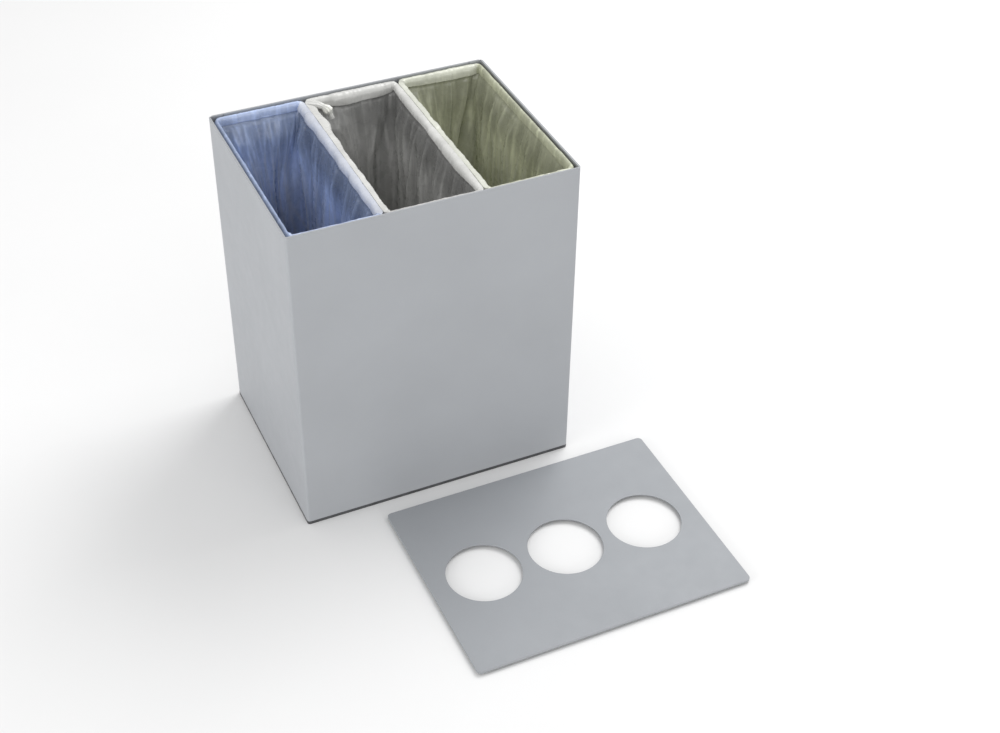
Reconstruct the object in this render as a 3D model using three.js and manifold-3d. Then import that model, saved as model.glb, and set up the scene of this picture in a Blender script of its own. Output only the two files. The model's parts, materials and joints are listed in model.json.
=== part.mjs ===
// A sorting bin for three kinds of waste: a folded sheet-steel casing, three wire hoops that each
// carry a film liner, and a flat cap lid with three round openings, lying on the floor in front.
// Millimetres, +Z up. The origin is on the floor under the middle of the casing, +X to the right
// along the wide front and +Y towards the back.
import * as THREE from "three";
import { mergeVertices } from "three/addons/utils/BufferGeometryUtils.js";
import Module from "manifold-3d";

const wasm = await Module();
wasm.setup();

// ---------------------------------------------------------------- driving dimensions
const GAP = 0.3; // clearance between pieces that touch
const SHEET = 1.5; // steel sheet of the casing, the base and the lid

const WIDTH = 500; // casing, outside
const DEPTH = 390;
const HEIGHT = 600;
const BEND = 5; // outside radius of the casing's upright bends
const HEM = 14; // depth of the folded-in top edge

const FLOOR_PLATE = 6; // thickness of the plastic plate under the casing
const STEEL_BOTTOM = FLOOR_PLATE + GAP;
const PAN_FLANGE = 25; // upturned edge of the base pan

const RETURN = 25; // the wrap's back returns, which the back panel is riveted to
const PANEL_EDGE = 6; // how far the back panel stays inside the casing's corners
const RIVET = { shank: 2, hole: 2.3, head: 4, tail: 3, x: 235, heights: [45, 165, 285, 405, 525] };
const CLIP = { shank: 2.5, hole: 2.9, head: 5.6, sink: 6.2, x: 200, y: 150 };

const WIRE = 6; // diameter of the hoop wire
const HOOP_INSET = 9.6; // casing's front face to the middle of the wire
const HOOP_DROP = 10.1; // rim down to the middle of the wire
const HOOP_BEND = 9; // corner radius of the wire's centreline
const SIDES = ["left", "middle", "right"];
const MIDDLE_WIDE = 170; // over the middle liner's folded top
const OUTER_WIDE = 159; // over each outer one
const FOOT = { wide: 20, thick: 3, fromCorner: 26 }; // a hoop's feet: flat strips under the wire
const LEDGE = { lip: 1.4, tall: 22, half: 243 }; // lip: how far it shows inside the wire's centreline

const FILM = 0.8; // liners, far thicker here than real film
const CUFF = 31; // how far the film hangs down outside its hoop
const BAG_FLOOR = 20; // underside of the liners
const BETWEEN = 0.5; // gap between two neighbouring liners

const LID_EDGE = 4; // height of the lid's folded edge
const LID_CORNER = 8;
const LID_AT = [130, -429]; // middle of the lid on the floor
const OPENING = 130; // diameter of the lid's round openings
const OPENING_PITCH = 152;
const LOCATOR = { long: 14, wide: 8, drop: 4, x: 85 }; // drop is how far it stands below the lid's edge

// ---------------------------------------------------------------- materials
const paint = new THREE.MeshStandardMaterial({ color: 0xa9adb2, roughness: 0.42, metalness: 0.35 });
const blackPlastic = new THREE.MeshStandardMaterial({ color: 0x1d1e20, roughness: 0.7, metalness: 0 });
const plainSteel = new THREE.MeshStandardMaterial({ color: 0xb9bcc0, roughness: 0.3, metalness: 0.9 });
const film = (color) =>
  new THREE.MeshStandardMaterial({ color, roughness: 0.25, transparent: true, opacity: 0.75 });
const films = { left: film(0x55709f), middle: film(0x6b6a62), right: film(0x8c9a55) };

// ---------------------------------------------------------------- solids
// A closed geometry as a manifold-3d solid, and back.
function solid(geometry) {
  const bare = geometry.index ? geometry.toNonIndexed() : geometry.clone();
  bare.deleteAttribute("normal");
  bare.deleteAttribute("uv");
  const merged = mergeVertices(bare, 1e-4);
  return new wasm.Manifold(
    new wasm.Mesh({
      numProp: 3,
      vertProperties: merged.attributes.position.array,
      triVerts: new Uint32Array(merged.index.array),
    }),
  );
}

function geometryOf(manifold) {
  const mesh = manifold.getMesh();
  const geometry = new THREE.BufferGeometry();
  geometry.setAttribute("position", new THREE.BufferAttribute(mesh.vertProperties, 3));
  geometry.setIndex(new THREE.BufferAttribute(mesh.triVerts, 1));
  geometry.computeVertexNormals();
  return geometry;
}

// An upright prism over a rounded rectangle given by its half sizes and its middle.
function prism({ half, radius, from, to, middle = [0, 0] }) {
  const [hx, hy] = half;
  const [cx, cy] = middle;
  const shape = new THREE.Shape();
  shape.moveTo(cx + hx - radius, cy - hy);
  shape.absarc(cx + hx - radius, cy - hy + radius, radius, -Math.PI / 2, 0);
  shape.absarc(cx + hx - radius, cy + hy - radius, radius, 0, Math.PI / 2);
  shape.absarc(cx - hx + radius, cy + hy - radius, radius, Math.PI / 2, Math.PI);
  shape.absarc(cx - hx + radius, cy - hy + radius, radius, Math.PI, 1.5 * Math.PI);
  const tall = to - from;
  const geometry = new THREE.ExtrudeGeometry(shape, { depth: tall, bevelEnabled: false, curveSegments: 6 });
  return solid(geometry.translate(0, 0, from));
}

// A box from its lowest to its highest corner.
function block([x0, y0, z0], [x1, y1, z1]) {
  const geometry = new THREE.BoxGeometry(x1 - x0, y1 - y0, z1 - z0);
  return solid(geometry.translate((x0 + x1) / 2, (y0 + y1) / 2, (z0 + z1) / 2));
}

// A cylinder along Z, or along Y when it is laid over.
function rod(radius, from, to, [a, b], along = "z", sides = 24) {
  const geometry = new THREE.CylinderGeometry(radius, radius, to - from, sides);
  if (along === "z") geometry.rotateX(Math.PI / 2).translate(a, b, (from + to) / 2);
  else geometry.translate(a, (from + to) / 2, b);
  return solid(geometry);
}

// A turned piece from [radius, height] pairs that run from the axis up to the axis, facing +Z.
function turned(profile, sides = 14) {
  const points = profile.map(([r, z]) => new THREE.Vector2(r, z));
  return solid(new THREE.LatheGeometry(points, sides).rotateX(Math.PI / 2));
}

// The four places at plus and minus x and y.
const fourWays = (x, y) => [-1, 1].flatMap((sx) => [-1, 1].map((sy) => [sx * x, sy * y]));

const bin = new THREE.Group();

function piece(name, manifold, material, group = bin) {
  const mesh = new THREE.Mesh(geometryOf(manifold), material);
  mesh.name = name;
  group.add(mesh);
  return mesh;
}

// ---------------------------------------------------------------- casing
const backFace = DEPTH / 2;
const wrapBack = backFace - SHEET - GAP; // outer face of the wrap's returns, under the back panel
const wrapHalfDepth = (wrapBack + DEPTH / 2) / 2;
const wrapMiddle = [0, (wrapBack - DEPTH / 2) / 2];

// A prism that follows the wrap's outline, drawn in by some distance.
const wrapPrism = (inset, from, to) =>
  prism({
    half: [WIDTH / 2 - inset, wrapHalfDepth - inset],
    radius: Math.max(BEND - inset, 1),
    from,
    to,
    middle: wrapMiddle,
  });

// Front and both sides in one sheet, with narrow plain returns at the back. The top edge of the
// front and the sides is folded in.
function casingWrap() {
  const walls = wrapPrism(0, STEEL_BOTTOM, HEIGHT)
    .subtract(wrapPrism(SHEET, 0, HEIGHT - HEM))
    .subtract(wrapPrism(2 * SHEET, HEIGHT - HEM - 1, HEIGHT + 1));
  const open = WIDTH / 2 - RETURN;
  const inside = WIDTH / 2 - 2 * SHEET;
  const returnFace = wrapBack - SHEET;
  return walls
    .subtract(block([-open, returnFace - 1, 0], [open, wrapBack + 1, HEIGHT + 1]))
    .subtract(block([-inside, returnFace - HEM, HEIGHT - HEM - 1], [inside, returnFace, HEIGHT + 1]));
}

// The back panel lies over the returns; its hem fits between them.
function backPanel() {
  const half = WIDTH / 2 - PANEL_EDGE;
  const hemHalf = WIDTH / 2 - RETURN - 1;
  const sheet = block([-half, backFace - SHEET, STEEL_BOTTOM], [half, backFace, HEIGHT]);
  const hemFace = backFace - 2 * SHEET;
  return sheet.add(block([-hemHalf, hemFace, HEIGHT - HEM], [hemHalf, backFace - SHEET / 2, HEIGHT]));
}

// A blind rivet through the back panel and a return, its head outside.
function backRivet() {
  const under = backFace + GAP;
  const tail = wrapBack - SHEET - GAP;
  const profile = [
    [0, tail - 1.5],
    [RIVET.tail - 0.4, tail - 1.3],
    [RIVET.tail, tail],
    [RIVET.shank, tail],
    [RIVET.shank, under],
    [RIVET.head, under],
    [RIVET.head - 0.4, under + 0.7],
    [RIVET.head / 2, under + 1.2],
    [0, under + 1.3],
  ];
  return turned(profile).rotate([-90, 0, 0]);
}

const rivetPlaces = [-RIVET.x, RIVET.x].flatMap((x) => RIVET.heights.map((z) => [x, z]));
const rivetHole = (at) => rod(RIVET.hole, wrapBack - 4, backFace + 1, at, "y", 16);
const rivetHoles = (manifold) => rivetPlaces.reduce((m, at) => m.subtract(rivetHole(at)), manifold);

piece("casing_wrap", rivetHoles(casingWrap()), paint);
piece("back_panel", rivetHoles(backPanel()), paint);
rivetPlaces.forEach(([x, z], i) => {
  piece(`back_rivet_${i + 1}`, backRivet(), plainSteel).position.set(x, 0, z);
});

// ---------------------------------------------------------------- base
const clipPlaces = fourWays(CLIP.x, CLIP.y);
const drill = (manifold, radius, from, to) =>
  clipPlaces.reduce((m, at) => m.subtract(rod(radius, from, to, at)), manifold);

// A shallow tray that closes the bottom of the casing.
function basePan() {
  const top = STEEL_BOTTOM + PAN_FLANGE;
  const inside = SHEET + GAP;
  const tray = wrapPrism(inside, STEEL_BOTTOM, top)
    .subtract(wrapPrism(inside + SHEET, STEEL_BOTTOM + SHEET, top + 1));
  return drill(tray, CLIP.hole, STEEL_BOTTOM - 1, STEEL_BOTTOM + SHEET + 1);
}

// The black plate that keeps the steel off the floor. Its edge is flush with the casing.
function floorPlate() {
  const plate = prism({ half: [WIDTH / 2, DEPTH / 2], radius: BEND, from: 0, to: FLOOR_PLATE });
  return drill(drill(plate, CLIP.hole, -1, FLOOR_PLATE + 1), CLIP.sink, -1, FLOOR_PLATE / 2);
}

// A push clip that holds the plate to the pan: a cap above, and a flange sunk in the plate below.
function plateClip() {
  const cap = STEEL_BOTTOM + SHEET + GAP;
  return turned([
    [0, 0.5],
    [CLIP.head, 0.5],
    [CLIP.head, 1.6],
    [CLIP.shank, 1.6],
    [CLIP.shank, cap],
    [CLIP.head, cap],
    [CLIP.head - 0.6, cap + 1.4],
    [CLIP.head / 2, cap + 2],
    [0, cap + 2],
  ]);
}

piece("base_pan", basePan(), paint);
piece("floor_plate", floorPlate(), blackPlastic);
clipPlaces.forEach(([x, y], i) => {
  piece(`floor_plate_clip_${i + 1}`, plateClip(), blackPlastic).position.set(x, y, 0);
});

// ---------------------------------------------------------------- ledges for the hoops
const wireHeight = HEIGHT - HOOP_DROP;
const filmOut = WIRE / 2 + GAP + FILM; // wire centre to the outside of the film round it
const cuffTop = wireHeight + filmOut;
const ledgeTop = cuffTop - CUFF - 1;

const ledgeEdge = DEPTH / 2 - HOOP_INSET - LEDGE.lip;

// An angle strip. wall is the y of the face it is welded to, and side is -1 in front or 1 at the back.
function ledge(wall, side) {
  const face = wall - side * GAP;
  const [u0, u1] = [face, face - side * SHEET].sort((a, b) => a - b);
  const [f0, f1] = [face, side * ledgeEdge].sort((a, b) => a - b);
  const upright = block([-LEDGE.half, u0, ledgeTop - LEDGE.tall], [LEDGE.half, u1, ledgeTop]);
  const flat = block([-LEDGE.half, f0, ledgeTop - SHEET], [LEDGE.half, f1, ledgeTop]);
  return upright.add(flat);
}

piece("front_ledge", ledge(-DEPTH / 2 + SHEET, -1), paint);
piece("rear_ledge", ledge(wrapBack - SHEET, 1), paint);

// ---------------------------------------------------------------- hoops and liners
const hoopPitch = MIDDLE_WIDE / 2 + BETWEEN + OUTER_WIDE / 2;
const hoopHalf = (wide) => [wide / 2 - filmOut, DEPTH / 2 - HOOP_INSET]; // of the wire's centreline

// A prism over the hoop's outline, moved out from the wire's centreline by some distance.
const hoopPrism = (wide, out, from, to) =>
  prism({ half: hoopHalf(wide).map((h) => h + out), radius: HOOP_BEND + out, from, to });

// The points of the wire's closed centreline, a level rounded rectangle.
function hoopLine([hx, hy], r, z, steps = 6) {
  const corners = [
    [hx - r, hy - r],
    [r - hx, hy - r],
    [r - hx, r - hy],
    [hx - r, r - hy],
  ];
  return corners.flatMap(([cx, cy], quarter) =>
    Array.from({ length: steps + 1 }, (_, i) => {
      const a = (quarter + i / steps) * (Math.PI / 2);
      return new THREE.Vector3(cx + r * Math.cos(a), cy + r * Math.sin(a), z);
    }),
  );
}

// A round wire through a closed loop of level points: a ring of sides round every point.
function wireLoop(points, radius, sides = 12) {
  const vertices = [];
  const triangles = [];
  points.forEach((p, i) => {
    const before = points[(i + points.length - 1) % points.length];
    const after = points[(i + 1) % points.length];
    const inDirection = p.clone().sub(before).normalize();
    const outDirection = after.clone().sub(p).normalize();
    const along = inDirection.clone().add(outDirection).normalize();
    const across = new THREE.Vector3(along.y, -along.x, 0);
    const widen = 1 / Math.max(0.5, along.dot(outDirection));
    for (let k = 0; k < sides; k++) {
      const a = (k / sides) * 2 * Math.PI;
      const r = radius * Math.cos(a) * widen;
      vertices.push(p.x + across.x * r, p.y + across.y * r, p.z + radius * Math.sin(a));
    }
    const here = i * sides;
    const next = ((i + 1) % points.length) * sides;
    for (let k = 0; k < sides; k++) {
      const m = (k + 1) % sides;
      triangles.push(here + k, next + k, here + m, here + m, next + k, next + m);
    }
  });
  const geometry = new THREE.BufferGeometry();
  geometry.setAttribute("position", new THREE.BufferAttribute(new Float32Array(vertices), 3));
  geometry.setIndex(triangles);
  return solid(geometry);
}

// A closed wire hoop with four flat feet that stand on the ledges, under the folded film.
function hoop(wide) {
  const [hx, hy] = hoopHalf(wide);
  const wire = wireLoop(hoopLine([hx, hy], HOOP_BEND, wireHeight), WIRE / 2);
  return fourWays(hx - FOOT.fromCorner, 1).reduce((m, [x, side]) => {
    const [y0, y1] = [side * (hy + WIRE / 2), side * (hy + WIRE / 2 - FOOT.thick)].sort((a, b) => a - b);
    return m.add(block([x - FOOT.wide / 2, y0, ledgeTop + GAP], [x + FOOT.wide / 2, y1, wireHeight]));
  }, wire);
}

// A film liner: a deep open bag whose top is folded outwards over the hoop.
function liner(wide) {
  const cuffEnd = cuffTop - CUFF;
  const cuff = hoopPrism(wide, filmOut, cuffEnd, cuffTop);
  const underCuff = hoopPrism(wide, filmOut - FILM, cuffEnd - 1, cuffTop - FILM);
  const tub = hoopPrism(wide, -WIRE / 2 - GAP, BAG_FLOOR, cuffTop);
  const inside = hoopPrism(wide, -filmOut, BAG_FLOOR + FILM, cuffTop + 1);
  return cuff.subtract(underCuff).add(tub).subtract(inside);
}

SIDES.forEach((side, i) => {
  const wide = side === "middle" ? MIDDLE_WIDE : OUTER_WIDE;
  const compartment = new THREE.Group();
  compartment.position.x = (i - 1) * hoopPitch;
  piece(`${side}_hoop`, hoop(wide), plainSteel, compartment);
  piece(`${side}_liner`, liner(wide), films[side], compartment);
  bin.add(compartment);
});

// ---------------------------------------------------------------- lid
const lidHalf = [WIDTH / 2, DEPTH / 2];
const lidTop = LOCATOR.drop + LID_EDGE;
const openingPlaces = [-OPENING_PITCH, 0, OPENING_PITCH];

// A flat plate with a folded-down edge and a row of round openings.
function lidPlate() {
  const shell = prism({ half: lidHalf, radius: LID_CORNER, from: LOCATOR.drop, to: lidTop });
  const inner = lidHalf.map((h) => h - SHEET);
  const hollow = prism({ half: inner, radius: LID_CORNER - SHEET, from: 0, to: lidTop - SHEET });
  return openingPlaces.reduce(
    (m, x) => m.subtract(rod(OPENING / 2, 0, lidTop + 1, [x, 0], "z", 64)),
    shell.subtract(hollow),
  );
}

// A block under the lid that drops just inside the casing's rim, and that the lid stands on here.
function locator([x, y]) {
  const half = [LOCATOR.long / 2, LOCATOR.wide / 2];
  return prism({ half, radius: 2, from: 0, to: lidTop - SHEET - GAP, middle: [x, y] });
}

const lid = new THREE.Group();
lid.position.set(LID_AT[0], LID_AT[1], 0);
piece("lid", lidPlate(), paint, lid);
const locatorY = DEPTH / 2 - 2 * SHEET - GAP - LOCATOR.wide / 2;
fourWays(LOCATOR.x, locatorY).forEach((at, i) => {
  piece(`lid_locator_${i + 1}`, locator(at), blackPlastic, lid);
});
bin.add(lid);

export default bin;
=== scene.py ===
import json
import math

import bpy
import numpy as np
from mathutils import Matrix, Vector


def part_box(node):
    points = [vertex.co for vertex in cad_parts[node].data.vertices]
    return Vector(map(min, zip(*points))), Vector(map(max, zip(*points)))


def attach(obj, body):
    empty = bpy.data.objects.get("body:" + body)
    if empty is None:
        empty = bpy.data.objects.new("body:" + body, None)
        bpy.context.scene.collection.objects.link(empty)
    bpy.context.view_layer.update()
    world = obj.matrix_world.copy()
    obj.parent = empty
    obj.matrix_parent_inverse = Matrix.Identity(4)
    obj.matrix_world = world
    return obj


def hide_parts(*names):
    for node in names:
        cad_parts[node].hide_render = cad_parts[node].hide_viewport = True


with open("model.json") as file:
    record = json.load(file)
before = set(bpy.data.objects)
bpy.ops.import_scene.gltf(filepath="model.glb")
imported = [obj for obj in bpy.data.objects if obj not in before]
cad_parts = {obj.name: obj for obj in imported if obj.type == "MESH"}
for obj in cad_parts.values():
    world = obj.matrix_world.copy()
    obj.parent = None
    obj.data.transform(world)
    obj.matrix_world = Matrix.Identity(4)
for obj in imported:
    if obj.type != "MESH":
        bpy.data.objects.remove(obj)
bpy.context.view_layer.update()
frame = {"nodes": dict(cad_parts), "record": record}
scene = bpy.context.scene


# ---------------------------------------------------------------- camera
def add_camera(eye, target, roll_deg, lens):
    data = bpy.data.cameras.new("camera")
    data.sensor_width = 36
    data.lens = lens
    data.clip_start = 0.05
    data.clip_end = 60
    obj = bpy.data.objects.new("camera", data)
    scene.collection.objects.link(obj)
    look = (target - eye).to_track_quat("-Z", "Y").to_matrix().to_4x4()
    obj.matrix_world = Matrix.Translation(eye) @ look @ Matrix.Rotation(math.radians(roll_deg), 4, "Z")
    scene.camera = obj


add_camera(
    eye=Vector((-0.827, -2.174, 2.014)),
    target=Vector((0.077, -0.268, 0.3)),
    roll_deg=0.99,
    lens=59.3,
)


# ---------------------------------------------------------------- materials
MIX_FACTOR, MIX_A, MIX_B = 0, 6, 7  # a Mix node's inputs when it mixes colours
MIX_RESULT = 2  # and its output
FLAKE_SHARE = 0.4  # how much of a powder coat's colour comes from its flake
# a near-white colour painted on the knot: a painted highlight
KNOT_PAINTED_HIGHLIGHT = (0.88, 0.88, 0.82)
SHARP_EDGE_DEG = 28  # CAD edges that turn by more than this stay sharp


class Nodes:
    """A new material with a Principled shader, and short calls to add nodes to it."""

    def __init__(self, name, **values):
        self.material = bpy.data.materials.new(name)
        self.material.use_nodes = True
        self.tree = self.material.node_tree
        self.shader = self.tree.nodes["Principled BSDF"]
        for socket, value in values.items():
            self.shader.inputs[socket.replace("_", " ")].default_value = value
        self.place = self.add("ShaderNodeTexCoord").outputs["Object"]

    def add(self, kind, **settings):
        node = self.tree.nodes.new(kind)
        for key, value in settings.items():
            setattr(node, key, value)
        return node

    def join(self, source, target):
        self.tree.links.new(source, target)

    def noise(self, scale, detail=2.0, roughness=0.5, stretch=None, kind="FBM"):
        node = self.add("ShaderNodeTexNoise", noise_type=kind)
        node.inputs["Scale"].default_value = scale
        node.inputs["Detail"].default_value = detail
        node.inputs["Roughness"].default_value = roughness
        place = self.place
        if stretch:
            mapping = self.add("ShaderNodeMapping")
            mapping.inputs["Scale"].default_value = stretch
            self.join(place, mapping.inputs["Vector"])
            place = mapping.outputs["Vector"]
        self.join(place, node.inputs["Vector"])
        return node.outputs["Fac"]

    def spread(self, value, low, high, start=0.3, end=0.7):
        """value from start to end becomes a number from low to high."""
        node = self.add("ShaderNodeMapRange")
        node.inputs["From Min"].default_value = start
        node.inputs["From Max"].default_value = end
        node.inputs["To Min"].default_value = low
        node.inputs["To Max"].default_value = high
        self.join(value, node.inputs["Value"])
        return node.outputs["Result"]

    def mix(self, factor, a, b):
        """Colour a where factor is 0 and b where it is 1. Each is a value or another node's output."""
        node = self.add("ShaderNodeMix", data_type="RGBA")
        for place, value in ((MIX_FACTOR, factor), (MIX_A, a), (MIX_B, b)):
            socket = node.inputs[place]
            if isinstance(value, bpy.types.NodeSocket):
                self.join(value, socket)
            elif place == MIX_FACTOR:
                socket.default_value = value
            else:
                socket.default_value = (*value, 1)
        return node.outputs[MIX_RESULT]

    def bump(self, height, strength, distance, normal=None):
        node = self.add("ShaderNodeBump")
        node.inputs["Strength"].default_value = strength
        node.inputs["Distance"].default_value = distance
        self.join(height, node.inputs["Height"])
        if normal:
            self.join(normal, node.inputs["Normal"])
        return node.outputs["Normal"]

    def rounded(self, radius, samples=6):
        """Normals that round off sharp edges."""
        node = self.add("ShaderNodeBevel", samples=samples)
        node.inputs["Radius"].default_value = radius
        return node.outputs["Normal"]

    def set(self, socket, source):
        self.join(source, self.shader.inputs[socket])


def shades(colour, *factors):
    """The colour times each factor: below 1 is darker, above 1 is lighter."""
    return [tuple(c * f for c in colour) for f in factors]


def powder_coat(name, colour):
    """Silver-grey powder coat: a fine orange peel, faint flake and slow changes of tone."""
    m = Nodes(name, Metallic=0.05, Specular_IOR_Level=0.4)
    dark, light = shades(colour, 0.95, 1.05)
    tone = m.mix(m.spread(m.noise(5.0, 3.0), 0, 1), dark, light)
    fine_dark, fine_light = shades(colour, 0.90, 1.10)
    flake = m.mix(m.spread(m.noise(2600.0, 1.0), 0, 1), fine_dark, fine_light)
    m.set("Base Color", m.mix(FLAKE_SHARE, tone, flake))
    m.set("Roughness", m.spread(m.noise(38.0, 4.0, 0.6), 0.48, 0.58))
    peel = m.bump(m.noise(620.0, 2.0), 0.16, 0.0004, m.rounded(0.0007))
    m.set("Normal", m.bump(m.noise(2100.0, 1.0), 0.10, 0.0002, peel))
    return m.material


def moulded_plastic(name, colour):
    """Matte plastic with a fine grain."""
    m = Nodes(name, Specular_IOR_Level=0.4)
    dark, light = shades(colour, 0.75, 1.35)
    m.set("Base Color", m.mix(m.spread(m.noise(60.0, 4.0), 0, 1), dark, light))
    m.set("Roughness", m.spread(m.noise(180.0, 3.0), 0.5, 0.68))
    m.set("Normal", m.bump(m.noise(1500.0, 2.0), 0.3, 0.0003, m.rounded(0.0004)))
    return m.material


def bright_metal(name, colour):
    """Bright metal, zinc-plated or plain, with a mottle and a fine grain."""
    m = Nodes(name, Metallic=1.0)
    dark, light = shades(colour, 0.82, 1.12)
    m.set("Base Color", m.mix(m.spread(m.noise(140.0, 4.0, 0.6), 0, 1), dark, light))
    m.set("Roughness", m.spread(m.noise(320.0, 3.0), 0.24, 0.42))
    m.set("Normal", m.bump(m.noise(900.0, 2.0), 0.12, 0.0002, m.rounded(0.0004)))
    return m.material


def film(name, deep, pale):
    """Thin crinkled film. The "pale" attribute is -1 where a dark colour is painted on as painted shade, 0
    where the film hangs loose, 1 where it is gathered over its hoop in a pale colour, partly the doubled
    film's own and partly painted light, and 2 where a knot is painted near white as a painted highlight."""
    m = Nodes(name, Alpha=0.97, Specular_IOR_Level=0.55)
    pale_and_painted_light = m.add("ShaderNodeAttribute", attribute_name="pale").outputs["Fac"]
    cloud = m.spread(m.noise(26.0, 4.0, 0.6, (1.0, 1.0, 0.35)), 0, 1)
    # light streaks down the walls, stretched upright: painted highlights of creases
    streak_highlight_mask = m.spread(m.noise(75.0, 2.0, 0.55, (1.0, 1.0, 0.09)), 0, 0.6, 0.50, 0.70)
    # of these, the darkest is painted shade and the lightest the painted highlight of the streaks
    painted_shade_colour, deeper, lighter, painted_streak_highlight = shades(deep, 0.30, 0.74, 1.2, 1.7)
    loose = m.mix(streak_highlight_mask, m.mix(cloud, deeper, lighter), painted_streak_highlight)
    inner = m.mix(m.spread(pale_and_painted_light, 0, 1, -1, 0), painted_shade_colour, loose)
    # the pale colour on the roll: partly the doubled film's own paleness, partly painted light
    creamier, whiter = shades(pale, 0.86, 1.08)
    outer = m.mix(cloud, creamier, whiter)
    gathered = m.mix(m.spread(pale_and_painted_light, 0, 1, 0, 1), inner, outer)
    # above 1 the colour goes to the knot's near white, a painted highlight
    m.set("Base Color", m.mix(m.spread(pale_and_painted_light, 0, 1, 1, 2), gathered, KNOT_PAINTED_HIGHLIGHT))
    m.set("Roughness", m.spread(m.noise(70.0, 3.0), 0.20, 0.38))
    creases = m.bump(m.noise(90.0, 3.0, 0.55, (1.0, 1.0, 0.16)), 0.24, 0.004)
    sharp = m.noise(105.0, 1.0, 0.5, (1.0, 1.0, 0.30), kind="RIDGED_MULTIFRACTAL")
    crinkled = m.bump(sharp, 0.30, 0.0012, creases)
    m.set("Normal", m.bump(m.noise(420.0, 2.0, 0.5, (1.0, 1.0, 0.4)), 0.06, 0.0008, crinkled))
    return m.material


# how each material slot is made, and its colour; a film has one for deep in the bag and one for its top,
# whose paleness is partly the doubled film's own and partly painted light
FINISHES = {
    "casing_paint": (powder_coat, (0.336, 0.348, 0.366)),
    # the lid's paint is the casing's, made about 12% darker as painted shade against the extra light on
    # its upward face
    "lid_paint": (powder_coat, (0.296, 0.309, 0.327)),
    "black_plastic": (moulded_plastic, (0.060, 0.061, 0.064)),
    "wire_steel": (bright_metal, (0.60, 0.61, 0.62)),
    "rivet_metal": (bright_metal, (0.68, 0.69, 0.70)),
    "blue_film": (film, (0.38, 0.465, 0.675), (0.53, 0.555, 0.62)),
    "grey_film": (film, (0.425, 0.425, 0.415), (0.61, 0.61, 0.59)),
    "green_film": (film, (0.49, 0.505, 0.375), (0.61, 0.62, 0.55)),
}
MATERIALS = {slot: make(slot, *colours) for slot, (make, *colours) in FINISHES.items()}


def shade_smooth(mesh):
    mesh.polygons.foreach_set("use_smooth", [True] * len(mesh.polygons))


def finish_cad_nodes():
    """Each CAD node but the liners gets its material, and smooth shading over its bends. The liners are
    replaced below."""
    slots = {s["node"]: s["material_slot"] for s in frame["record"]["subparts"]}
    for name, obj in frame["nodes"].items():
        if name.endswith("_liner"):
            continue
        for material_slot in obj.material_slots:
            material_slot.link = "OBJECT"
            material_slot.material = MATERIALS[slots[name]]
        shade_smooth(obj.data)
        obj.data.set_sharp_from_angle(angle=math.radians(SHARP_EDGE_DEG))


finish_cad_nodes()


# ---------------------------------------------------------------- film liners
WIRE_R = 0.003
FILM_R = WIRE_R + 0.0007  # wire centre to the film drawn over it
HOOP_BEND = 0.009
ROOM_BETWEEN = 0.0042  # wire centre to the plane half way to the next liner
SLACK_HEM = 0.0064  # wire centre to the furthest that film may stand out towards the casing
HIGHEST_RISE = 0.0048  # the most that the roll stands up off the film drawn over the wire
HEM_DEPTH = 0.0225  # wire centre down to the hem's lower edge
HEM_TOP = 0.0004  # wire centre down to where the hem turns over the wire
FOOT_DEPTH = 0.0030  # wire centre down to where the roll turns into the skirt
TUCK_DEPTH = 0.0024  # height of the tuck, from the skirt down to the single film
WRINKLES = 150
WRINKLE_TOP = (-0.0004, 0.0012)  # the furthest that a wrinkle goes down and up on top of the roll
PLEAT_SETS = 18
CLOSING = 0.085  # height over which the walls draw together above the weld
WELD = 0.008  # height of the flat weld under the bag
WELD_FOOT = 0.003  # the CAD liner's underside up to the weld's lower edge
WELD_WIDE, WELD_DEEP = 0.015, 0.95  # the weld's share of the bag's width and depth
WELD_PALE = 0.22
SIDE_POINTS = (70, 180)  # points along a liner's short and long sides, between its corners
CORNER_POINTS = 13
RINGS = {"hem": 12, "over_wire": 10, "roll": 12, "skirt": 8, "tuck": 6, "walls": 125, "weld": 5}

# What differs between the liners. The rolls: how much further the film's roll stands in at the back, and
# near the back of its left and right sides, where it is bunched. Then how pale the roll is at the back,
# partly the doubled film's own paleness and partly painted light, and at the casing's side, where below 0
# it is painted shade.
LINERS = {
    "left": {
        "back_roll": -0.0004,
        "left_roll": 0,
        "right_roll": 0.002,
        "back_pale_and_light": 0.16,
        "side_painted_shade": -0.36,
    },
    "middle": {
        "back_roll": 0.0040,
        "left_roll": 0.006,
        "right_roll": 0,
        "back_pale_and_light": 0.97,
        "side_painted_shade": 0,
    },
    "right": {
        "back_roll": 0.0025,
        "left_roll": 0,
        "right_roll": 0,
        "back_pale_and_light": 0.75,
        "side_painted_shade": -0.20,
    },
}


def smoothstep(x, a, b):
    """0 where x is a or less, 1 where it is b or more, and a smooth step between."""
    t = np.clip((np.asarray(x, float) - a) / (b - a), 0, 1)
    return t * t * (3 - 2 * t)


def wave(rng, u, low, high, count):
    """A smooth random function round a loop, mostly within 1 of 0. u runs from 0 to 1."""
    total = np.zeros_like(u)
    for _ in range(count):
        k = rng.integers(low, high + 1)
        total += np.sin(2 * np.pi * (k * u + rng.random())) * rng.random()
    return total / (count * 0.45)


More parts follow.
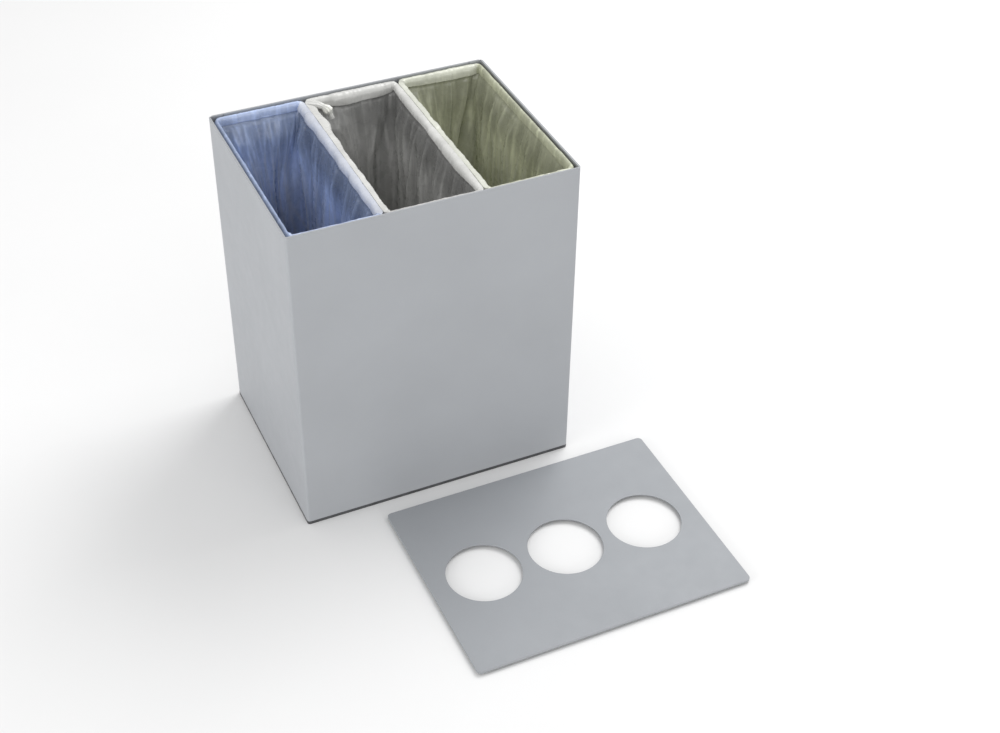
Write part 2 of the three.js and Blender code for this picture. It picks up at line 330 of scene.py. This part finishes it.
def ring(hx, hy, radius):
    """Points and outward normals round a rounded rectangle, from its +X side on anticlockwise."""
    points, normals = [], []
    ix, iy = hx - radius, hy - radius
    centres = [(ix, iy), (-ix, iy), (-ix, -iy), (ix, -iy)]
    for quarter, (cx, cy) in enumerate(centres):
        for i in range(CORNER_POINTS):
            a = (quarter + i / (CORNER_POINTS - 1)) * math.pi / 2
            normals.append((math.cos(a), math.sin(a)))
            points.append((cx + radius * math.cos(a), cy + radius * math.sin(a)))
        (ax, ay), (nx, ny) = points[-1], normals[-1]
        bx, by = centres[(quarter + 1) % 4]
        bx, by = bx + radius * nx, by + radius * ny
        count = SIDE_POINTS[quarter % 2]
        for i in range(1, count + 1):
            t = i / (count + 1)
            points.append((ax + (bx - ax) * t, ay + (by - ay) * t))
            normals.append((nx, ny))
    return np.array(points), np.array(normals)


class Wrinkles:
    """Short wrinkles that cross the roll. Each has a place along the film from its hem, 0, to its tuck, 1:
    up the hem to 0.35, over the wire to 0.5, round the roll to 0.75 and down the skirt to 1."""

    def __init__(self, rng, u):
        self.u = u
        self.all = []
        for _ in range(WRINKLES):
            self.all.append(
                dict(
                    at=rng.random(),
                    slant=rng.normal(0, 0.010),
                    width=rng.uniform(0.0020, 0.0055),
                    height=rng.uniform(-0.0011, 0.0008),
                    start=rng.uniform(-0.3, 0.7),
                    length=rng.uniform(0.3, 0.9),
                )
            )

    def at(self, place):
        """How far the film stands off its plain shape, all round, at this place."""
        total = np.zeros_like(self.u)
        for w in self.all:
            t = (place - w["start"]) / w["length"]
            if 0 < t < 1:
                near = (self.u - w["at"] - w["slant"] * place + 0.5) % 1 - 0.5
                total += w["height"] * math.sin(math.pi * t) * np.exp(-((near / w["width"]) ** 2))
        return total


class Pleats:
    """Upright pleats that a liner's walls fall into. Each set has sharp ridges that sway and fade."""

    def __init__(self, rng, sets):
        self.sets = []
        for _ in range(sets):
            count = int(rng.integers(5, 30))
            self.sets.append(
                dict(
                    count=count,
                    phase=rng.random(),
                    sway=rng.normal(0, 0.11) * count,
                    bend=rng.normal(0, 0.35),
                    deepest=rng.uniform(-0.02, 0.5),
                    spread=rng.uniform(0.10, 0.28),
                    height=rng.uniform(0.004, 0.009) * (14 / count) ** 0.6,
                    patch=rng.integers(1, 5),
                    patch_phase=rng.random(),
                )
            )

    def at(self, u, depth):
        """How far the wall stands in at this depth, and how sharp a ridge is there, from 0 to 1."""
        total, ridge = np.zeros_like(u), np.zeros_like(u)
        for s in self.sets:
            turn = s["count"] * u + s["phase"] + s["sway"] * depth
            turn += s["bend"] * np.sin(9 * depth + 6 * s["phase"])
            saw = np.abs(2 * (turn % 1) - 1) ** 1.7
            patch = 0.5 + 0.5 * np.sin(2 * np.pi * (s["patch"] * u + s["patch_phase"]))
            share = patch * math.exp(-(((depth - s["deepest"]) / s["spread"]) ** 2))
            total += s["height"] * share * saw
            ridge += share * np.clip((saw - 0.72) / 0.28, 0, 1) ** 2
        return total, np.clip(ridge, 0, 1)


def loft(rings):
    """The quads between rings of equally many points, each ring closed."""
    count = len(rings[0])
    i = np.arange(count)
    bands = []
    for r in range(len(rings) - 1):
        a, b = r * count + i, r * count + (i + 1) % count
        bands.append(np.column_stack([a, a + count, b + count, b]))
    return np.concatenate(rings), np.concatenate(bands)


def liner_shape(side, seed):
    """One film liner: a hem outside its hoop, over the wire in a slack roll, down the inside in
    pleated walls, and together into a flat weld. Returns points, quads and the film's paleness."""
    low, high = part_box(f"{side}_hoop")
    hx, hy = (high.x - low.x) / 2 - WIRE_R, (high.y - low.y) / 2 - WIRE_R
    wire_z = high.z - WIRE_R
    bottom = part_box(f"{side}_liner")[0].z + WELD_FOOT + WELD
    own = LINERS[side]
    rng = np.random.default_rng(seed)

    centre, normal = ring(hx, hy, HOOP_BEND)
    count = len(centre)
    u = np.arange(count) / count
    left, right = smoothstep(-normal[:, 0], 0.4, 0.95), smoothstep(normal[:, 0], 0.4, 0.95)
    back, front = smoothstep(normal[:, 1], 0.4, 0.95), smoothstep(-normal[:, 1], 0.4, 0.95)
    corner = smoothstep(2 * np.abs(normal[:, 0] * normal[:, 1]), 0.1, 0.9)
    beside = left * (side != "left") + right * (side != "right")  # faces the next liner
    slow, medium = wave(rng, u, 2, 7, 6), wave(rng, u, 9, 22, 8)
    quick, fine = wave(rng, u, 30, 70, 12), wave(rng, u, 80, 150, 14)

    tight = (left + right) * (1 - np.clip(beside, 0, 1))  # drawn over the wire at the casing's side
    at_wall = np.clip(back + tight, 0, 1)
    gathers = np.abs(np.sin(np.pi * (95 * u + 1.5 * medium))) ** 0.6 * (0.6 + 0.4 * slow)

    # the height of the roll's top
    rise = 0.0024 + 0.0007 * slow + 0.0005 * medium - 0.0002 * beside + 0.0030 * at_wall
    top = wire_z + FILM_R + np.clip(rise, 0, HIGHEST_RISE)
    top += 0.0004 * quick + 0.0002 * fine + 0.0005 * gathers
    # how far the film stands out from the wire's centre, and how far its roll stands in
    slack_out = np.clip(0.0062 - 0.0016 * tight + 0.0006 * medium, FILM_R, SLACK_HEM)
    out = np.where(beside > 0.5, ROOM_BETWEEN, slack_out)
    roll = 0.0046 + 0.0009 * slow + 0.0008 * medium + 0.0028 * beside + 0.0012 * beside * medium
    roll -= 0.0010 * tight
    bunched = np.exp(-(((centre[:, 1] - 0.75 * hy) / 0.06) ** 2)) * (1 + 0.4 * medium)
    roll += bunched * (own["left_roll"] * left + own["right_roll"] * right)
    roll += own["back_roll"] * back * (1 + 0.25 * slow) + 0.0020 * corner
    roll += (0.0008 * quick + 0.0003 * fine + 0.0007 * gathers) * (0.4 + 0.6 * back + 0.4 * beside)
    roll = np.maximum(roll, FILM_R + 0.0003)
    # the skirt's height, and how pale the film is on the roll: partly the doubled film's own paleness and
    # partly painted light, with painted shade where it goes below 0
    skirt = 0.0018 + 0.6 * own["back_roll"] * back + 0.0008 * (1 - beside)
    skirt = np.maximum(skirt * (1 + 0.35 * slow + 0.35 * medium), 0.0012)
    roll_pale_and_light = own["back_pale_and_light"] * back + beside + 0.35 * front
    roll_pale_and_light += own["side_painted_shade"] * tight
    roll_pale_and_light = np.clip(roll_pale_and_light * (1 + 0.10 * medium + 0.08 * quick), -0.4, 1.0)

    wrinkles = Wrinkles(rng, u)
    rings, pale = [], []

    def add(offset, z, paleness):
        """A ring this far outside the wire's centre line."""
        flat = centre + normal * np.broadcast_to(offset, (count,))[:, None]
        rings.append(np.column_stack([flat, np.broadcast_to(z, (count,))]))
        pale.append(np.broadcast_to(paleness, (count,)))

    # the hem, from its wavy lower edge up to the wire
    hem = wire_z - HEM_DEPTH + 0.0018 * slow + 0.0014 * medium
    for t in np.linspace(0, 1, RINGS["hem"]):
        ripple = (0.0006 * quick + 0.0004 * medium) * (1 - t) + wrinkles.at(0.35 * t)
        hang = FILM_R + (out - FILM_R) * (0.25 + 0.75 * t**2)
        hang = np.where(beside > 0.5, hang, np.clip(hang + ripple, FILM_R, SLACK_HEM))
        add(hang, hem * (1 - t) + (wire_z - HEM_TOP) * t, 0.75 * roll_pale_and_light)
    # over the wire: square-shouldered beside another liner, rounder at the casing
    for a in np.linspace(0.06, math.pi / 2, RINGS["over_wire"]):
        c, s = math.cos(a), math.sin(a)
        shoulder_c, shoulder_s = c**0.12, s**0.12
        reach = out * (beside * shoulder_c + (1 - beside) * c)
        up = (top - wire_z) * (beside * shoulder_s + (1 - beside) * s)
        add(reach, wire_z + up + np.clip(wrinkles.at(0.35 + 0.15 * s), *WRINKLE_TOP) * s, roll_pale_and_light)
    # the slack roll inside
    foot = wire_z - FOOT_DEPTH - 0.0012 * slow
    for a in np.linspace(0.12, math.pi / 2, RINGS["roll"]):
        c, s = math.cos(a) ** 0.8, math.sin(a) ** 0.85
        bulge = wrinkles.at(0.5 + 0.25 * s)
        inward = np.maximum(roll * s + (0.0003 * quick + bulge) * s, (FILM_R + 0.0002) * s)
        height = top - foot + np.clip(bulge, *WRINKLE_TOP) * (1 - s)
        add(-inward, foot + height * c, roll_pale_and_light * (1 - 0.06 * s))
    # the skirt under the roll, and the tuck where the single film starts
    for t in np.linspace(0.15, 1, RINGS["skirt"]):
        wander = 0.0008 * medium * t + 0.0004 * quick * t - wrinkles.at(0.75 + 0.25 * t)
        add(np.minimum(-roll + wander, -FILM_R), foot - skirt * t, roll_pale_and_light * (0.94 - 0.10 * t))
    tuck = foot - skirt
    single = np.maximum(roll - 0.0008 - 0.0026 * own["back_pale_and_light"] * back - 0.0012 * beside, FILM_R)
    # the dark colour painted on the single film under the tuck, stronger beside the next liner: painted
    # shade
    wall_painted_shade = 0.58 + 0.30 * beside + 0.14 * medium
    for t in np.linspace(0.2, 1, RINGS["tuck"]):
        inward = roll * (1 - t) + single * t - 0.0005 * medium * (1 - t)
        add(-inward, tuck - TUCK_DEPTH * t, 0.80 * roll_pale_and_light * (1 - t) - wall_painted_shade * t)

    # the deep walls: share runs from 0 under the tuck to 1 at the weld, and shut from open to flat
    pleats = Pleats(rng, PLEAT_SETS)
    billow = wave(rng, u, 2, 5, 4)
    start_z = tuck - TUCK_DEPTH
    whole_depth = start_z.mean() - bottom
    for k in range(1, RINGS["walls"] + 1):
        share = k / RINGS["walls"]
        z = start_z + (bottom - start_z) * share
        depth = float(share * whole_depth)
        shut = float(smoothstep(CLOSING - whole_depth * (1 - share), 0.0, CLOSING)) ** 1.3
        in_by = FILM_R + 0.002 + 0.012 * share
        wide = (hx - in_by) * (1 - (1 - WELD_WIDE) * shut)
        deep = (hy - in_by) * (1 - (1 - WELD_DEEP) * shut)
        slackness = float(smoothstep(depth, 0.0, 0.14))
        flat, out_of = ring(wide, deep, min(HOOP_BEND + 0.030 * slackness, 0.92 * wide))
        fold, ridge = pleats.at(u, depth)
        fold *= min(1.0, 0.35 + depth / 0.05)
        fold += 0.0040 * (billow + 0.6) * min(1.0, depth / 0.12)
        fold += 0.0004 * quick * (1 - smoothstep(depth, 0.0, 0.10))
        lead = (single - in_by) * (1 - smoothstep(depth, 0.0, 0.045))
        room = 1 - 0.93 * shut
        inward = np.clip(lead + np.clip(fold, -0.001, 0.020), FILM_R - in_by + 0.0002, None) * room
        rings.append(np.column_stack([flat - out_of * inward[:, None], z]))
        # painted shade at the top of the walls, fading with depth
        top_painted_shade = wall_painted_shade * (1 - smoothstep(depth, 0.010, 0.095))
        # a paler colour deeper down the walls: painted light
        painted_deep_light = 0.26 * smoothstep(depth, 0.03, 0.28)
        # a lighter colour on sharp pleat ridges: painted highlights
        painted_crest_highlight = 0.62 * ridge * min(1.0, 0.35 + depth / 0.1)
        pale.append(np.clip(painted_deep_light + painted_crest_highlight - top_painted_shade + 0.04 * medium, -1, 1))
    # the weld
    wide, deep = (hx - in_by) * WELD_WIDE, (hy - in_by) * WELD_DEEP
    flat, _ = ring(wide, deep, 0.9 * wide)
    for t in np.linspace(0.2, 1, RINGS["weld"]):
        rings.append(np.column_stack([flat, np.full(count, bottom - WELD * t)]))
        pale.append(np.full(count, WELD_PALE))

    points, quads = loft(rings)
    points[:, 0] += (low.x + high.x) / 2
    return points, quads, np.concatenate(pale)


# The knotted film's stations, from the hoop's corner on: where each is from the top of that corner, and
# the film's radius, flatness and paleness there. Paleness above 1 is the painted highlight of the knot.
KNOT = (
    ((0.0010, -0.0020, -0.0010), 0.0110, 0.30, 0.95),
    ((0.0080, -0.0085, 0.0000), 0.0100, 0.40, 0.95),
    ((0.0160, -0.0150, -0.0010), 0.0074, 0.60, 1.0),
    ((0.0230, -0.0200, -0.0040), 0.0048, 0.85, 1.2),
    ((0.0275, -0.0235, -0.0075), 0.0072, 1.00, 1.9),
    ((0.0305, -0.0262, -0.0110), 0.0078, 1.00, 2.0),
    ((0.0325, -0.0285, -0.0150), 0.0034, 0.85, 1.4),
    ((0.0335, -0.0300, -0.0195), 0.0042, 0.60, 1.0),
    ((0.0338, -0.0310, -0.0240), 0.0052, 0.50, 0.8),
)
KNOT_STEPS = 5  # rings from one station to the next
KNOT_AROUND = 40  # points in each


def spare_knot(side):
    """The spare film of a liner, gathered in the hoop's back left corner and knotted: a pleated tail
    that runs over the roll, tightens into a knot and opens again below it."""
    low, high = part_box(f"{side}_hoop")
    corner = np.array([low.x + WIRE_R, high.y - WIRE_R, high.z + 0.0012])
    offsets, radii, flatness, knot_pale_and_highlight = zip(*KNOT)
    path = corner + np.array(offsets)
    stations = np.arange(len(path))
    last = stations[-1]

    def on_path(t):
        return np.array([np.interp(t, stations, path[:, i]) for i in range(3)])

    a = np.arange(KNOT_AROUND) / KNOT_AROUND * 2 * np.pi
    rings, pale = [], []
    for k in range(last * KNOT_STEPS + 1):
        t = k / KNOT_STEPS
        ahead, behind = on_path(min(t + 0.6, last)), on_path(max(t - 0.6, 0))
        along = (ahead - behind) / np.linalg.norm(ahead - behind)
        across = np.cross(along, (0, 0, 1))
        across /= np.linalg.norm(across)
        up = np.cross(across, along)
        r = np.interp(t, stations, radii)
        flat = np.interp(t, stations, flatness)
        creased = r * (1 + 0.16 * np.sin(9 * a + 0.5 * t) + 0.09 * np.sin(14 * a - 0.9 * t))
        sideways, upward = creased * np.cos(a), creased * flat * np.sin(a)
        rings.append(on_path(t) + np.outer(sideways, across) + np.outer(upward, up))
        pale.append(np.full(KNOT_AROUND, np.interp(t, stations, knot_pale_and_highlight)))
    points, quads = loft(rings)
    return points, quads, np.concatenate(pale)


def liner(side, slot_name, seed, knotted):
    """The film bag that takes the place of a CAD liner."""
    points, quads, pale = liner_shape(side, seed)
    if knotted:
        more, more_quads, more_pale = spare_knot(side)
        quads = np.concatenate([quads, more_quads + len(points)])
        points, pale = np.concatenate([points, more]), np.concatenate([pale, more_pale])
    mesh = bpy.data.meshes.new(f"{side}_bag")
    mesh.from_pydata(points.tolist(), [], quads.tolist())
    mesh.update()
    attribute = mesh.attributes.new("pale", "FLOAT", "POINT")
    attribute.data.foreach_set("value", pale.astype(np.float32))
    shade_smooth(mesh)
    mesh.materials.append(MATERIALS[slot_name])
    obj = bpy.data.objects.new(f"{side}_bag_film", mesh)
    scene.collection.objects.link(obj)
    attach(obj, f"{side}_bag")
    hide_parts(f"{side}_liner")


liner("left", "blue_film", 11, knotted=False)
liner("middle", "grey_film", 18, knotted=True)
liner("right", "green_film", 25, knotted=False)


# ---------------------------------------------------------------- studio
def floor():
    half = 9.0
    corners = [(-half, -half, 0), (half, -half, 0), (half, half, 0), (-half, half, 0)]
    mesh = bpy.data.meshes.new("floor")
    mesh.from_pydata(corners, [], [(0, 1, 2, 3)])
    obj = bpy.data.objects.new("floor", mesh)
    scene.collection.objects.link(obj)
    m = Nodes("studio_floor", Roughness=0.75, Specular_IOR_Level=0.2)
    m.set("Base Color", m.mix(m.noise(3.0, 3.0), (0.76, 0.76, 0.76), (0.78, 0.78, 0.78)))
    mesh.materials.append(m.material)


def area_light(name, place, target, size, power):
    data = bpy.data.lights.new(name, "AREA")
    data.shape = "RECTANGLE"
    data.size, data.size_y = size
    data.energy = power
    obj = bpy.data.objects.new(name, data)
    scene.collection.objects.link(obj)
    aim = (Vector(target) - Vector(place)).to_track_quat("-Z", "Y").to_matrix().to_4x4()
    obj.matrix_world = Matrix.Translation(place) @ aim


def studio():
    floor()
    world = bpy.data.worlds.new("studio")
    world.use_nodes = True
    background = world.node_tree.nodes["Background"]
    background.inputs["Color"].default_value = (1, 1, 1, 1)
    background.inputs["Strength"].default_value = 0.77
    scene.world = world
    area_light("key", place=(2.3, 0.95, 3.5), target=(0, -0.2, 0.2), size=(2.6, 2.6), power=112)
    area_light("fill", place=(-3.8, -0.6, 1.0), target=(0, 0, 0.3), size=(2.8, 1.6), power=66)
    area_light("front", place=(0.9, -4.4, 0.8), target=(0, 0, 0.1), size=(3.0, 1.4), power=57)
    scene.view_settings.view_transform = "Standard"
    scene.view_settings.look = "None"


studio()
